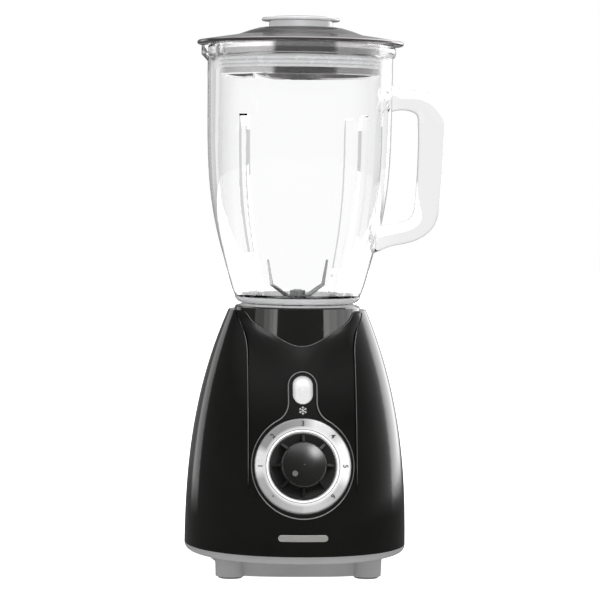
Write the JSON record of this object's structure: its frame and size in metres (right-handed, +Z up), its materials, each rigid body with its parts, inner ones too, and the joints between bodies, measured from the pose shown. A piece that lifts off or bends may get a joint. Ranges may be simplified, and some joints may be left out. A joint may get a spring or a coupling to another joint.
{
  "type": "countertop blender",
  "caption": "Countertop blender: tapered motor base with a rotary speed dial and a crush button, and a lift-off glass jug with a D handle, bent blades, ribbed lid and measuring cap.",
  "frame": {"origin": "bottom centre of the bounding box, in the plane that the rubber feet stand on; the jug's axis is 13.3 mm to its left, at -X", "axes": "+Z up, parallel to the jug's axis, -Y towards the control panel at the front, +X towards the jug's handle"},
  "size_m": [0.1859, 0.1781, 0.4],
  "materials": {
    "shell_black": "high gloss, injection moulded",
    "collar_black": "gloss",
    "tray_grey": "satin, fine texture",
    "zinc_steel": "zinc plated",
    "rubber_black": "matt",
    "rubber_grey": "matt",
    "satin_aluminium": "satin, circular brushing",
    "bright_trim": "bright",
    "switch_black": "matt",
    "board_green": "lacquered board",
    "lamination_steel": "stacked sheet, lacquered edges",
    "copper_wire": "enamelled copper",
    "cast_aluminium": "cast",
    "bearing_steel": "ground",
    "carbon": "pressed carbon",
    "brass": "pressed sheet",
    "bronze": "sintered",
    "fan_nylon": "moulded",
    "coupling_nylon": "moulded",
    "knob_black": "semi-gloss",
    "button_silver": "metallic silver lacquer",
    "jug_glass": "clear pressed glass",
    "ring_grey": "moulded",
    "seal_clear": "translucent silicone",
    "stainless": "brushed, ground edges",
    "lid_grey": "semi-gloss",
    "cap_clear": "clear plastic"
  },
  "bodies": {
    "base": {"housing_shell": "shell_black", "jar_collar": "collar_black", "bottom_tray": "tray_grey", "foot_pad_front_left": "rubber_grey", "foot_pad_front_right": "rubber_grey", "foot_pad_back_left": "rubber_grey", "foot_pad_back_right": "rubber_grey", "tray_screws": "zinc_steel", "cord_inlet": "rubber_black", "control_bezel": "collar_black", "dial_ring": "satin_aluminium", "dial_trim": "bright_trim", "rotary_switch": "switch_black", "control_board": "board_green", "board_components": "switch_black", "button_spring": "rubber_black", "switch_bracket": "switch_black", "micro_switch": "switch_black", "stator_core": "lamination_steel", "field_coils": "copper_wire", "motor_bracket_upper": "cast_aluminium", "motor_bracket_lower": "cast_aluminium", "bearing_upper": "bearing_steel", "bearing_lower": "bearing_steel", "carbon_brushes": "carbon", "brush_holders": "brass", "through_bolts": "zinc_steel", "spacer_sleeves": "zinc_steel", "mount_grommets": "rubber_black", "mount_screws": "zinc_steel"},
    "rotor": {"armature_core": "lamination_steel", "armature_windings": "copper_wire", "commutator": "copper_wire", "motor_shaft": "bearing_steel", "cooling_fan": "fan_nylon", "drive_coupling": "coupling_nylon"},
    "knob": {"speed_knob": "knob_black", "knob_dot": "bright_trim", "knob_spindle": "bearing_steel"},
    "button": {"crush_button": "button_silver"},
    "jug": {"glass_jug": "jug_glass", "base_ring": "ring_grey", "blade_seal": "seal_clear", "blade_plate": "stainless", "blade_bush": "bronze"},
    "blades": {"blade_shaft": "bearing_steel", "upper_blades": "stainless", "lower_blades": "stainless", "blade_washer": "stainless", "blade_nut": "stainless", "driven_coupling": "coupling_nylon"},
    "lid": {"lid": "lid_grey", "lid_seal": "seal_clear"},
    "cap": {"measuring_cap": "cap_clear"}
  },
  "joints": [
    {"name": "motor_spin", "type": "hinge", "parent": "base", "child": "rotor", "pos_m": [-0.0133, 0, 0.1], "axis": [0, 0, 1], "continuous": true},
    {"name": "knob_turn", "type": "hinge", "parent": "base", "child": "knob", "pos_m": [-0.0133, -0.0728, 0.083], "axis": [0, 0.9774, -0.2113], "range_deg": [0, 270]},
    {"name": "button_press", "type": "slide", "parent": "base", "child": "button", "axis": [0, 0.9349, -0.355], "range_m": [0, 0.0022], "stiffness_N_per_m": 300, "deforming": ["button_spring"]},
    {"name": "jar_lift", "type": "slide", "parent": "base", "child": "jug", "axis": [0, 0, 1], "range_m": [0, 0.06]},
    {"name": "lid_lift", "type": "slide", "parent": "jug", "child": "lid", "axis": [0, 0, 1], "range_m": [0, 0.05]},
    {"name": "cap_lift", "type": "slide", "parent": "lid", "child": "cap", "axis": [0, 0, 1], "range_m": [0, 0.04]},
    {"name": "blade_spin", "type": "hinge", "parent": "jug", "child": "blades", "pos_m": [-0.0133, 0, 0.19], "axis": [0, 0, 1], "continuous": true}
  ],
  "couplings": [
    {"joint": "blade_spin", "follows": "motor_spin", "ratio": 1}
  ]
}
